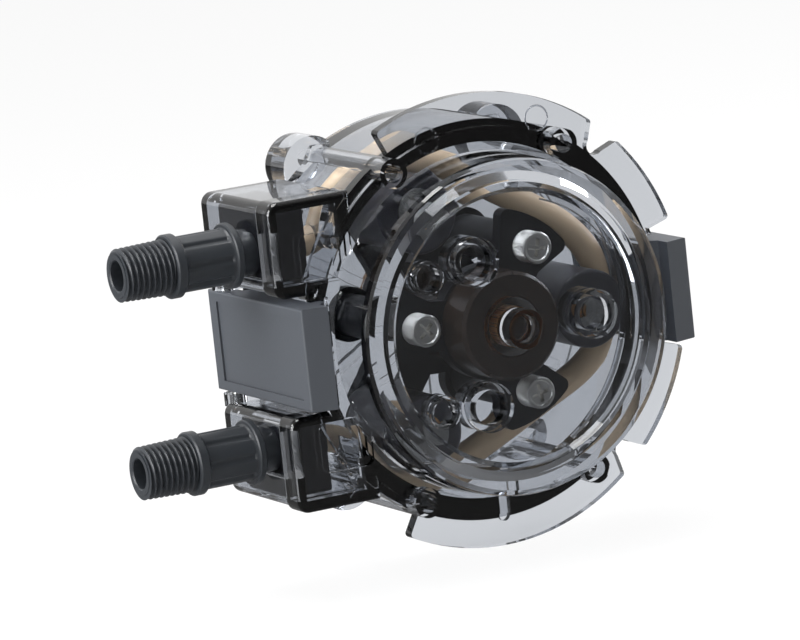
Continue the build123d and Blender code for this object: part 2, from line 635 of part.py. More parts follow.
def pump_tube():
    """Flexible tube at rest, pressed flat where a roller holds it against the track."""
    body = tube_sweep(TUBE_R)
    reach = 3 * TUBE_R
    front, back = PORT_Y - reach, PORT_Y + reach
    ends = block(-2 * TUBE_START, -TUBE_START + reach, front, back, -TRACK_R, TRACK_R)
    body &= rod(TRACK_R - TUBE_TRACK_GAP, front, back) + ends
    for angle in ROLLER_ANGLES:
        x, z = polar(ROLLER_PITCH_R, angle)
        body -= rod(ROLLER_R + 0.3, front, back, x, z)
    for side in (-1, 1):
        mouth = Pos(-TUBE_START, PORT_Y, side * PORT_Z) * Rot(0, 90, 0) * Cylinder(TUBE_BORE_R, 9)
        body -= mouth
    return body


# ---------------------------------------------------------------- build
def main():
    os.makedirs("parts", exist_ok=True)
    save("rear_housing", rear_housing())
    save("front_cover", front_cover())
    save("cover_bush", cover_bush())
    save("rear_bush", rear_bush())
    save("rotor_hub", rotor_hub())
    save("hub_set_screw", hub_set_screw())
    save("rotor_rear_plate", rotor_rear_plate())
    save("rotor_spider", rotor_spider())
    save("rotor_posts", rotor_posts())
    save("rotor_screws", rotor_screws())
    save("roller_axles", roller_axles())
    save("axle_clips", axle_clips())
    for number, angle in enumerate(ROLLER_ANGLES, start=1):
        save(f"roller_{number}", roller(angle))
        save(f"roller_bush_{number}", roller_bush(angle))
    save("right_latch", latch(1))
    save("left_latch", latch(-1))
    save("latch_pins", latch_pins())
    for name, side in (("upper", 1), ("lower", -1)):
        save(f"tube_adaptor_{name}", adaptor(side))
        save(f"adaptor_clip_{name}", adaptor_clip(side))
    save("pump_tube", pump_tube())


main()
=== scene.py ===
"""Dresses the peristaltic pump head: finishes, threads, knurls, the tube, floor, light and camera."""
import logging
import math
from dataclasses import dataclass
from enum import Enum
from typing import Callable, Sequence

import bmesh
import bpy
from mathutils import Matrix, Vector

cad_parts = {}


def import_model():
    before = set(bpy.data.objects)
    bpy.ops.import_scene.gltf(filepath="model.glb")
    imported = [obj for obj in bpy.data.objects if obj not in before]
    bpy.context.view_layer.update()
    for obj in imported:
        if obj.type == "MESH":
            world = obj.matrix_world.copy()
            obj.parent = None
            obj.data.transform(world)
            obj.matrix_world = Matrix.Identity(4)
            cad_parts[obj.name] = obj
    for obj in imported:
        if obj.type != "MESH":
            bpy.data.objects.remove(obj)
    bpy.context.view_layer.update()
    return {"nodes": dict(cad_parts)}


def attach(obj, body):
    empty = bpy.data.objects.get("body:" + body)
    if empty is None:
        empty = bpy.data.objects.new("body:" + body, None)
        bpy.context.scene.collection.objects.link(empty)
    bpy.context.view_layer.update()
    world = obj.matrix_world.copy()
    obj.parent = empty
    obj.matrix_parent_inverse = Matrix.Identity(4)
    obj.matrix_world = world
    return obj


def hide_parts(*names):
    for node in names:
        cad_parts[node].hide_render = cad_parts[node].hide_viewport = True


LOG = logging.getLogger("pump_head")
MM = 0.001

CLOUD_MM = 18.0           # size of the slow change of tint over a surface
ROUGHNESS_SWING = 0.15    # share by which the grain changes the roughness
BUMP_STRENGTH = 0.35
SHARP_ANGLE = 32.0        # degrees between faces from which an edge stays sharp

Point = tuple[float, float, float]
Place = tuple[float, float]
Ring = list[bmesh.types.BMVert]


# ---------------------------------------------------------------- colour and nodes
def linear(hex_colour: str) -> tuple[float, float, float, float]:
    """Turn an sRGB hex colour into a linear colour.

    Args:
        hex_colour: Six hex digits.

    Returns:
        Red, green, blue and an alpha of one, linear.
    """
    channels = [int(hex_colour[i:i + 2], 16) / 255 for i in (0, 2, 4)]
    scene = [c / 12.92 if c <= 0.04045 else ((c + 0.055) / 1.055) ** 2.4 for c in channels]
    return scene[0], scene[1], scene[2], 1.0


def add_node(tree: bpy.types.NodeTree, kind: str, settings: dict | None = None,
             **inputs: object) -> bpy.types.Node:
    """Add a node, set its options, and set or link its inputs.

    Args:
        tree: The node tree.
        kind: Blender's node type.
        settings: Attributes of the node itself.
        **inputs: Socket values by name, with underscores for spaces; a socket is linked.

    Returns:
        The new node.
    """
    made = tree.nodes.new(kind)
    for key, value in (settings or {}).items():
        setattr(made, key, value)
    for key, value in inputs.items():
        name = key.replace("_", " ")
        socket = made.inputs[int(name[1:])] if name[0] == "i" and name[1:].isdigit() else made.inputs[name]
        if isinstance(value, bpy.types.NodeSocket):
            tree.links.new(value, socket)
        else:
            socket.default_value = value
    return made


# ---------------------------------------------------------------- finishes
@dataclass(frozen=True)
class Finish:
    """A surface finish: what it is made of and how its surface was made."""

    name: str
    colour: str
    roughness: float = 0.5
    metallic: float = 0.0
    ior: float = 1.5
    transmission: float = 0.0
    grain_mm: float = 0.6
    grain_depth: float = 0.02
    mottling: float = 0.04
    specular: float = 0.5
    clear_shadow: float = 0.0

    def build(self) -> bpy.types.Material:
        """Make the material with its procedural grain and colour variation.

        Returns:
            The new material, which lets part of the light through its shadow if the finish is clear.
        """
        material = bpy.data.materials.new(self.name)
        material.use_nodes = True
        tree = material.node_tree
        tree.nodes.clear()
        place = add_node(tree, "ShaderNodeTexCoord").outputs["Object"]
        grain = add_node(tree, "ShaderNodeTexNoise", Vector=place, Scale=1 / (self.grain_mm * MM),
                         Detail=3.0, Roughness=0.55)
        cloud = add_node(tree, "ShaderNodeTexNoise", Vector=place, Scale=1 / (CLOUD_MM * MM), Detail=2.0)
        tint = add_node(tree, "ShaderNodeMapRange", Value=cloud.outputs["Fac"],
                        To_Min=1 - self.mottling, To_Max=1 + self.mottling)
        base = add_node(tree, "ShaderNodeVectorMath", {"operation": "SCALE"},
                        i0=linear(self.colour)[:3], Scale=tint.outputs["Result"])
        rough = add_node(tree, "ShaderNodeMapRange", Value=grain.outputs["Fac"],
                         To_Min=self.roughness * (1 - ROUGHNESS_SWING),
                         To_Max=min(1.0, self.roughness * (1 + ROUGHNESS_SWING)))
        bump = add_node(tree, "ShaderNodeBump", Height=grain.outputs["Fac"], Strength=BUMP_STRENGTH,
                        Distance=self.grain_depth * MM)
        shader = add_node(tree, "ShaderNodeBsdfPrincipled", Base_Color=base.outputs["Vector"],
                          Roughness=rough.outputs["Result"], Metallic=self.metallic,
                          IOR=self.ior, Normal=bump.outputs["Normal"])
        shader.inputs["Transmission Weight"].default_value = self.transmission
        shader.inputs["Specular IOR Level"].default_value = self.specular
        surface = shader.outputs["BSDF"]
        if self.clear_shadow:
            shadow = add_node(tree, "ShaderNodeLightPath").outputs["Is Shadow Ray"]
            part = add_node(tree, "ShaderNodeMath", {"operation": "MULTIPLY"}, i0=shadow,
                            i1=self.clear_shadow)
            lit = add_node(tree, "ShaderNodeBsdfTransparent", Color=(0.95, 0.96, 0.98, 1))
            surface = add_node(tree, "ShaderNodeMixShader", i0=part.outputs["Value"], i1=surface,
                               i2=lit.outputs["BSDF"]).outputs["Shader"]
        add_node(tree, "ShaderNodeOutputMaterial", Surface=surface)
        return material


# Smoke-tinted polycarbonate, moulded and polished: clear, with dark edges and sharp highlights.
CLEAR_POLYCARBONATE = Finish("clear_polycarbonate_moulded", "C9CCD1", roughness=0.02, ior=1.45,
                             transmission=1.0, grain_mm=8.0, grain_depth=0.01, mottling=0.02,
                             clear_shadow=0.7)
# Moulded ABS with a fine spark-eroded grain: even, soft sheen.
LATCH_ABS = Finish("grey_abs_moulded", "3E4146", roughness=0.42, ior=1.54, grain_mm=0.35,
                   grain_depth=0.02, specular=0.25)
# Glass-filled polypropylene, moulded: dark slate with a satin skin.
ADAPTOR_PP = Finish("slate_polypropylene_moulded", "282B2F", roughness=0.38, grain_mm=0.4,
                    grain_depth=0.02, specular=0.35)
# Black acetal, moulded: near black, waxy sheen.
BLACK_ACETAL = Finish("black_acetal_moulded", "0C0D12", roughness=0.38, ior=1.48, grain_mm=0.5,
                      grain_depth=0.006, specular=0.22)
# Black acetal, turned: greyer and smoother than the moulded parts.
TURNED_ACETAL = Finish("black_acetal_turned", "333338", roughness=0.3, ior=1.48, grain_mm=0.25,
                       grain_depth=0.006, specular=0.35)
# Brown-black acetal of the hub, turned: warm against the spider.
HUB_ACETAL = Finish("brown_acetal_turned", "2A2019", roughness=0.22, ior=1.48, grain_mm=0.9,
                    grain_depth=0.004, specular=0.45)
# Stainless steel, turned: bright heads on the dark rotor.
SCREW_STEEL = Finish("stainless_steel_turned", "DEDCD6", roughness=0.3, metallic=1.0, grain_mm=0.3)
# Ground steel of pins, axles and clips: grey metal with a fine, tight highlight.
PIN_STEEL = Finish("steel_ground", "A9A9A7", roughness=0.25, metallic=1.0, grain_mm=0.3)
# Sintered bronze: warm orange-brown with a finely porous skin.
SINTERED_BRONZE = Finish("bronze_sintered", "D8A066", roughness=0.36, metallic=1.0, grain_mm=0.3,
                         grain_depth=0.03)
# Thermoplastic elastomer tube, extruded: beige with a silky, broad highlight.
TUBE_ELASTOMER = Finish("elastomer_extruded", "D2B896", roughness=0.45, grain_mm=0.8, grain_depth=0.02)


class Materials:
    """Builds each finish once and hands it out."""

    def __init__(self) -> None:
        """Start with nothing built."""
        self.built: dict[str, bpy.types.Material] = {}

    def get(self, finish: Finish) -> bpy.types.Material:
        """Hand out the material of a finish, building it the first time.

        Args:
            finish: The finish wanted.

        Returns:
            Its one material.
        """
        if finish.name not in self.built:
            self.built[finish.name] = finish.build()
        return self.built[finish.name]

    def dress(self, piece: bpy.types.Object, finish: Finish) -> None:
        """Give every slot of a piece the finish.

        Args:
            piece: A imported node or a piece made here.
            finish: The finish for all of it.
        """
        material = self.get(finish)
        if not piece.data.materials:
            piece.data.materials.append(material)
        for index in range(len(piece.material_slots)):
            piece.material_slots[index].material = material


# ---------------------------------------------------------------- mesh helpers
def new_piece(name: str, mesh: bmesh.types.BMesh, smooth: bool = True) -> bpy.types.Object:
    """Turn a bmesh into a linked object.

    Args:
        name: The piece's name.
        mesh: Its faces, in metres; freed here.
        smooth: Whether to shade it smooth.

    Returns:
        The new object.
    """
    bmesh.ops.recalc_face_normals(mesh, faces=mesh.faces)
    data = bpy.data.meshes.new(name)
    mesh.to_mesh(data)
    mesh.free()
    if smooth:
        data.shade_smooth()
        data.set_sharp_from_angle(angle=math.radians(SHARP_ANGLE))
    piece = bpy.data.objects.new(name, data)
    bpy.context.scene.collection.objects.link(piece)
    return piece


def bridge(mesh: bmesh.types.BMesh, rings: Sequence[Ring], loop: bool = False) -> None:
    """Join neighbouring rings of vertices by four-sided faces.

    Args:
        mesh: The mesh that holds the vertices.
        rings: Closed rings of as many vertices each.
        loop: Whether the last ring also joins the first.
    """
    count = len(rings[0])
    following = [*rings[1:], *(rings[:1] if loop else [])]
    for low, high in zip(rings, following):
        for k in range(count):
            j = (k + 1) % count
            mesh.faces.new((low[k], low[j], high[j], high[k]))


def grid_surface(rows: Sequence[Sequence[Point]]) -> bmesh.types.BMesh:
    """Skin rings of points into a closed surface with capped ends.

    Args:
        rows: Rings of points in metres, each as long as the others.

    Returns:
        A bmesh with the skin and its two end caps.
    """
    mesh = bmesh.new()
    rings = [[mesh.verts.new(point) for point in row] for row in rows]
    bridge(mesh, rings)
    mesh.faces.new(list(reversed(rings[0])))
    mesh.faces.new(rings[-1])
    return mesh


def turned(profile: Sequence[Place], place: Callable[[float, float, float], Point],
           radius: Callable[[float, float, float], float], steps: int) -> bmesh.types.BMesh:
    """Turn a closed outline about an axis, with a change of radius round it.

    Args:
        profile: Points of (along, radius) in millimetres, from one end round to the other.
        place: Maps (along, across, up) in millimetres to a point in metres.
        radius: Gives the radius from (along, radius, angle).
        steps: Points round the axis.

    Returns:
        A closed bmesh, as the last ring joins the first.
    """
    mesh = bmesh.new()
    rings = []
    for along, plain in profile:
        ring = []
        for k in range(steps):
            angle = 2 * math.pi * k / steps
            here = radius(along, plain, angle)
            ring.append(mesh.verts.new(place(along, here * math.cos(angle), here * math.sin(angle))))
        rings.append(ring)
    bridge(mesh, rings, loop=True)
    return mesh


# ---------------------------------------------------------------- stage
@dataclass
class Studio:
    """Plain pale floor, white surround that first reflections see dimmer, soft lamps and the camera.

    Angles are in degrees, places in metres, lamps in watts and the camera's lens in millimetres.
    """

    azimuth: float = 26.41
    elevation: float = 9.60
    roll: float = 6.13
    distance: float = 1.4331
    lens: float = 274.83
    aim_right: float = 0.0283
    aim_up: float = -0.00188
    front: float = -0.062
    floor: float = -0.0600
    floor_half: float = 3.0
    floor_colour: tuple[float, float, float, float] = (0.9, 0.9, 0.9, 1.0)
    glow_share: float = 0.9
    front_light: float = 0.12
    fill_light: float = 0.3
    front_edge: float = -0.85
    sensor: float = 36.0
    view_reach: float = 20.0

    def axes(self) -> tuple[Vector, Vector, Vector]:
        """Work out where the camera's sides point.

        Returns:
            Its right, up and back directions.
        """
        a, e, r = (math.radians(v) for v in (self.azimuth, self.elevation, self.roll))
        back = Vector((-math.sin(a) * math.cos(e), -math.cos(a) * math.cos(e), math.sin(e)))
        right = Vector((math.cos(a), -math.sin(a), 0.0))
        up = back.cross(right)
        return (math.cos(r) * right - math.sin(r) * up, math.sin(r) * right + math.cos(r) * up, back)

    def camera(self) -> None:
        """Place the camera at the product view."""
        right, up, back = self.axes()
        aim = Vector((0, self.front, 0)) - self.aim_right * right - self.aim_up * up
        place = aim + self.distance * back
        data = bpy.data.cameras.new("camera")
        data.lens = self.lens
        data.sensor_width = self.sensor
        data.clip_end = self.view_reach
        camera = bpy.data.objects.new("camera", data)
        turn = Matrix((right, up, back)).transposed().to_4x4()
        camera.matrix_world = Matrix.Translation(place) @ turn
        bpy.context.scene.collection.objects.link(camera)
        bpy.context.scene.camera = camera

    def lamp(self, name: str, place: Point, target: Point, size: Place, watts: float) -> None:
        """Add one soft rectangular lamp aimed at a point.

        Args:
            name: The lamp's name.
            place: Where it stands.
            target: What it points at.
            size: Its width and height.
            watts: Its power.
        """
        data = bpy.data.lights.new(name, "AREA")
        data.shape = "RECTANGLE"
        data.size, data.size_y = size
        data.energy = watts
        lamp = bpy.data.objects.new(name, data)
        lamp.location = place
        lamp.rotation_euler = (Vector(target) - Vector(place)).to_track_quat("-Z", "Y").to_euler()
        bpy.context.scene.collection.objects.link(lamp)

    def seen(self, tree: bpy.types.NodeTree) -> bpy.types.NodeSocket:
        """Tell rays that see the studio from rays that only light the object.

        Args:
            tree: The node tree to add to.

        Returns:
            A socket that is one for rays from the lens, mirrors and clear plastic.
        """
        path = add_node(tree, "ShaderNodeLightPath")
        first = add_node(tree, "ShaderNodeMath", {"operation": "MAXIMUM"},
                         i0=path.outputs["Is Camera Ray"], i1=path.outputs["Is Transmission Ray"])
        second = add_node(tree, "ShaderNodeMath", {"operation": "MAXIMUM"},
                          i0=first.outputs["Value"], i1=path.outputs["Is Glossy Ray"])
        return add_node(tree, "ShaderNodeMath", {"operation": "SUBTRACT", "use_clamp": True},
                        i0=second.outputs["Value"], i1=path.outputs["Diffuse Depth"]).outputs["Value"]

    def dimmed(self, tree: bpy.types.NodeTree, light: float | bpy.types.NodeSocket) -> bpy.types.NodeSocket:
        """Give a ray's first reflection another light than the white that all other rays see.

        Args:
            tree: The node tree to add to.
            light: How bright the first reflection is.

        Returns:
            The strength for the ray.
        """
        depth = add_node(tree, "ShaderNodeLightPath").outputs["Glossy Depth"]
        mirror = add_node(tree, "ShaderNodeMath", {"operation": "COMPARE"}, i0=depth, i1=1.0, i2=0.5)
        return add_node(tree, "ShaderNodeMapRange", Value=mirror.outputs["Value"], To_Min=1.0,
                        To_Max=light).outputs["Result"]

    def dark_front(self, tree: bpy.types.NodeTree) -> bpy.types.NodeSocket:
        """Make the world that first reflections see: dim in front of the object, white behind it.

        Args:
            tree: The world's node tree.

        Returns:
            The world's strength.
        """
        ray = add_node(tree, "ShaderNodeTexCoord").outputs["Generated"]
        depth = add_node(tree, "ShaderNodeSeparateXYZ", Vector=ray).outputs["Y"]
        studio = add_node(tree, "ShaderNodeMapRange", {"interpolation_type": "SMOOTHSTEP"}, Value=depth,
                          From_Min=self.front_edge, From_Max=0.0, To_Min=self.front_light, To_Max=1.0)
        return self.dimmed(tree, studio.outputs["Result"])

    def surround(self) -> None:
        """White world for the lens and clear plastic, a dim front in mirrors, dimmer light on the object."""
        world = bpy.data.worlds.new("surround")
        world.use_nodes = True
        tree = world.node_tree
        tree.nodes.clear()
        strength = add_node(tree, "ShaderNodeMapRange", Value=self.seen(tree), To_Min=self.fill_light,
                            To_Max=self.dark_front(tree))
        shader = add_node(tree, "ShaderNodeBackground", Color=(1, 1, 1, 1),
                          Strength=strength.outputs["Result"])
        add_node(tree, "ShaderNodeOutputWorld", Surface=shader.outputs["Background"])
        bpy.context.scene.world = world

    def floor_paint(self) -> bpy.types.Material:
        """Make the floor's paint, part of which glows for rays that see it.

        Returns:
            The floor's material.
        """
        material = bpy.data.materials.new("pale_floor")
        material.use_nodes = True
        tree = material.node_tree
        tree.nodes.clear()
        paint = add_node(tree, "ShaderNodeBsdfDiffuse", Color=self.floor_colour)
        white = self.dimmed(tree, self.front_light)
        glow = add_node(tree, "ShaderNodeEmission", Color=(1, 1, 1, 1), Strength=white)
        part = add_node(tree, "ShaderNodeMath", {"operation": "MULTIPLY"}, i0=self.seen(tree),
                        i1=self.glow_share)
        mix = add_node(tree, "ShaderNodeMixShader", i0=part.outputs["Value"], i1=paint.outputs["BSDF"],
                       i2=glow.outputs["Emission"])
        add_node(tree, "ShaderNodeOutputMaterial", Surface=mix.outputs["Shader"])
        return material

    def build(self) -> None:
        """Set the view transform and add floor, surround, lamps and camera."""
        bpy.context.scene.view_settings.view_transform = "Standard"
        mesh = bmesh.new()
        bmesh.ops.create_grid(mesh, x_segments=2, y_segments=2, size=self.floor_half)
        floor = new_piece("floor", mesh, smooth=False)
        floor.location.z = self.floor
        floor.data.materials.append(self.floor_paint())
        self.surround()
        middle = (0.0, -0.03, 0.0)
        self.lamp("left_softbox", (-0.9, -0.08, 0.2), middle, (0.5, 0.8), 16.0)
        self.lamp("right_softbox", (0.9, 0.0, 0.2), middle, (0.3, 0.8), 8.0)
        self.lamp("top_softbox", (-0.1, 0.0, 0.9), middle, (0.8, 0.45), 11.0)
        self.camera()


# ---------------------------------------------------------------- ports
class Port(Enum):
    """Which of the two ports a piece belongs to; the value is the side of the rotor axis."""

    UPPER = 1
    LOWER = -1


@dataclass
class TubeAdaptor:
    """Tube adaptor with its pipe thread, stop flange, fluted barrel, disc, neck and barb.

    Places along the port count from the rotor's axis out to the mouth.
    """

    materials: Materials
    port: Port
    axis_y: float = -27.3
    axis_z: float = 23.6
    end: float = 86.1
    thread_length: float = 12.7
    thread_radius: float = 6.7
    thread_depth: float = 0.95
    thread_rings: int = 110
    taper: float = 1 / 32
    pitch: float = 1.411
    crest_share: float = 0.12
    run_in: float = 0.8
    run_out: float = 0.9
    mouth_depth: float = 0.3
    mouth_step: float = 0.25
    mouth_drop: float = 1.15
    mouth_rim_drop: float = 0.9
    stop_radius: float = 7.65
    stop_length: float = 2.6
    stop_edge: float = 0.35
    barrel_radius: float = 6.7
    flutes: int = 8
    flute_depth: float = 0.55
    flute_width: float = 0.3
    flute_fill: float = 0.35
    flute_margin: float = 0.6
    disc_front: float = 58.0
    disc_back: float = 56.2
    disc_radius: float = 7.85
    edge: float = 0.3
    neck_radius: float = 5.5
    collar_front: float = 42.3
    collar_back: float = 40.1
    collar_step: float = 1.2
    barb_back: float = 40.0
    barb_radius: float = 2.2
    spigot_end: float = 35.8
    spigot_radius: float = 1.6
    spigot_bore: float = 1.1
    bore_end: float = 60.0
    bore_radius: float = 3.65
    bore_wall: float = 1.2
    steps: int = 144

    def groove(self, along: float, angle: float) -> float:
        """Work out how deep the thread cuts, fading at both ends.

        Args:
            along: Place along the port.
            angle: Angle round it in radians.

        Returns:
            The depth in millimetres.
        """
        run = along - (self.end - self.thread_length)
        phase = (run / self.pitch + angle / (2 * math.pi)) % 1.0
        wave = abs(2 * phase - 1)
        shape = min(1.0, max(0.0, (wave - self.crest_share) / (1 - 2 * self.crest_share)))
        fade = min(1.0, run / self.run_in, (self.end - along) / self.run_out + self.mouth_depth)
        return self.thread_depth * shape * fade

    def flute(self, angle: float) -> float:
        """Work out how deep a flute of the barrel is.

        Args:
            angle: Angle round the barrel in radians.

        Returns:
            The depth in millimetres.
        """
        turn = (angle * self.flutes / (2 * math.pi) + 0.5) % 1.0
        wave = math.cos(math.pi * min(1.0, abs(turn - 0.5) / self.flute_width)) + self.flute_fill
        return self.flute_depth * max(0.0, wave) / (1 + self.flute_fill)

    def radius(self, along: float, radius: float, angle: float) -> float:
        """Cut the thread's helix and the barrel's flutes into the plain radius.

        Args:
            along: Place along the port.
            radius: The plain radius there.
            angle: Angle round the port in radians.

        Returns:
            The radius in millimetres.
        """
        start = self.end - self.thread_length
        if radius < self.bore_radius + self.bore_wall:
            return radius
        if start + 0.3 < along < self.end - 0.2:
            return radius - self.groove(along, angle)
        if self.disc_front + self.flute_margin < along < start - self.stop_length - self.flute_margin:
            return radius - self.flute(angle)
        return radius

    def outline(self) -> list[Place]:
        """Draw the closed half section, from the mouth along the outside and back up the bore.

        Returns:
            Points of place along the port and radius.
        """
        start = self.end - self.thread_length
        stop = start - self.stop_length
        small = self.thread_radius - self.taper * self.thread_length
        points = [(self.end, self.bore_radius + self.edge), (self.end, small - self.mouth_drop),
                  (self.end - self.mouth_step, small - self.mouth_rim_drop)]
        run = self.thread_length - 2 * self.edge
        for k in range(self.thread_rings + 1):
            along = self.end - self.edge - run * k / self.thread_rings
            points.append((along, self.thread_radius - self.taper * (along - start)))
        points += [
            (start, self.thread_radius - 0.7), (start, self.stop_radius - self.stop_edge),
            (start - self.stop_edge, self.stop_radius), (stop + self.stop_edge, self.stop_radius),
            (stop, self.stop_radius - self.stop_edge), (stop, self.barrel_radius + self.edge),
            (stop - 0.5, self.barrel_radius), (stop - 0.7, self.barrel_radius),
            (self.disc_front + 0.7, self.barrel_radius), (self.disc_front + 0.4, self.barrel_radius),
            (self.disc_front, self.barrel_radius + 0.2), (self.disc_front, self.disc_radius - self.edge),
            (self.disc_front - self.edge, self.disc_radius),
            (self.disc_back + self.edge, self.disc_radius),
            (self.disc_back, self.disc_radius - self.edge), (self.disc_back, self.neck_radius),
            (self.collar_front, self.neck_radius), (self.collar_front, self.neck_radius + self.collar_step),
            (self.collar_back, self.neck_radius + self.collar_step), (self.barb_back, self.barb_radius),
            (self.barb_back - 0.1, self.spigot_radius), (self.spigot_end, self.spigot_radius),
            (self.spigot_end, self.spigot_bore), (self.bore_end, self.spigot_bore),
            (self.bore_end, self.bore_radius), (self.end - self.edge, self.bore_radius),
        ]
        return points

    def build(self) -> None:
        """Make the adaptor and let it stand for its plain solid."""
        def place(along: float, across: float, up: float) -> Point:
            return -along * MM, (self.axis_y + across) * MM, (self.port.value * self.axis_z + up) * MM

        end = self.port.name.lower()
        mesh = turned(self.outline(), place, self.radius, self.steps)
        piece = new_piece(f"adaptor_{end}_threaded", mesh)
        self.materials.dress(piece, ADAPTOR_PP)
        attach(piece, "housing")
        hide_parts(f"tube_adaptor_{end}")
        LOG.info("%s: threaded adaptor", piece.name)


# ---------------------------------------------------------------- rotor screws
@dataclass
class RotorScrews:
    """Three knurled screws with cross recesses that hold the rotor's front spider."""

    materials: Materials
    angles: tuple[float, ...] = (55.0, 175.0, 295.0)
    pitch_radius: float = 20.0
    face: float = -52.0
    head_height: float = 5.7
    head_radius: float = 3.85
    shank_radius: float = 2.0
    length: float = 12.0
    edge: float = 0.3
    knurls: int = 30
    knurl_depth: float = 0.3
    knurl_margin: float = 0.5
    cross_turn: float = 0.35
    rim: float = 0.75
    dish: float = 0.35
    dish_edge: float = 0.25
    cross_arm: float = 2.2
    cross_half_width: float = 0.5
    cross_depth: float = 1.4
    cross_wall: float = 0.12
    cross_end: float = 0.5
    face_rings: int = 30
    side_rings: int = 32
    steps: int = 180

    def recess(self, x: float, z: float) -> float:
        """Work out how deep the head's face lies, with its dish and cross.

        Args:
            x: Place along one arm of the cross, from the screw's axis.
            z: Place along the other arm.

        Returns:
            The depth in millimetres.
        """
        radius = math.hypot(x, z)
        flat = self.head_radius - self.rim
        depth = self.dish * min(1.0, max(0.0, (flat - radius) / self.dish_edge))
        long, short = max(abs(x), abs(z)), min(abs(x), abs(z))
        if short < self.cross_half_width and long < self.cross_arm:
            wall = (self.cross_half_width - short) / self.cross_wall
            edge = min(wall, (self.cross_arm - long) / self.cross_end, 1.0)
            depth += self.cross_depth * edge
        return depth

    def knurl(self, depth: float, angle: float) -> float:
        """Work out how deep the diamond knurl cuts into the head's side.

        Args:
            depth: Place along the screw, as y in millimetres.
            angle: Angle round it in radians.

        Returns:
            The cut in millimetres, none near the head's two edges.
        """
        run = depth - self.face
        if not self.knurl_margin < run < self.head_height - self.knurl_margin:
            return 0.0
        slope = run * self.knurls / (2 * self.head_radius)
        half = self.knurls * angle / 2
        return self.knurl_depth * (1 - abs(math.sin(half + slope)) * abs(math.sin(half - slope)))

    def outline(self) -> list[Place]:
        """Draw the half section, from the middle of the face round the head and along the shank.

        Returns:
            Points of y and radius in millimetres.
        """
        back = self.face + self.head_height
        inner = self.head_radius - self.edge
        run = self.head_height - 2 * self.edge
        points = [(self.face, inner * k / self.face_rings) for k in range(1, self.face_rings + 1)]
        points += [(self.face + self.edge + run * k / self.side_rings, self.head_radius)
                   for k in range(self.side_rings + 1)]
        points += [(back, inner), (back, self.shank_radius), (back + self.length, self.shank_radius)]
        return points

    def screw(self, centre: Place, turn: float) -> bmesh.types.BMesh:
        """Make one screw from its face, knurled side and shank.

        Args:
            centre: Its axis, as x and z in millimetres.
            turn: Angle of the cross in radians.

        Returns:
            A closed bmesh.
        """
        mesh = bmesh.new()
        rings = []
        for y, plain in self.outline():
            ring = []
            for k in range(self.steps):
                angle = 2 * math.pi * k / self.steps
                on_face = y == self.face
                radius = plain if on_face else plain - self.knurl(y, angle)
                x, z = radius * math.cos(angle), radius * math.sin(angle)
                u = x * math.cos(turn) + z * math.sin(turn)
                v = z * math.cos(turn) - x * math.sin(turn)
                depth = y + self.recess(u, v) if on_face else y
                ring.append(mesh.verts.new(((centre[0] + x) * MM, depth * MM, (centre[1] + z) * MM)))
            rings.append(ring)
        bridge(mesh, rings)
        bottom = self.face + self.dish + self.cross_depth
        middle = mesh.verts.new((centre[0] * MM, bottom * MM, centre[1] * MM))
        for k in range(self.steps):
            mesh.faces.new((middle, rings[0][(k + 1) % self.steps], rings[0][k]))
        mesh.faces.new(rings[-1])
        return mesh

    def build(self) -> None:
        """Make the three screws and let them stand for the plain ones."""
        for number, angle in enumerate(self.angles, start=1):
            centre = (self.pitch_radius * math.cos(math.radians(angle)),
                      self.pitch_radius * math.sin(math.radians(angle)))
            piece = new_piece(f"rotor_screw_{number}_knurled", self.screw(centre, self.cross_turn + number))
            self.materials.dress(piece, SCREW_STEEL)
            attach(piece, "rotor")
            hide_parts("rotor_screws")
            LOG.info("%s: knurled screw", piece.name)


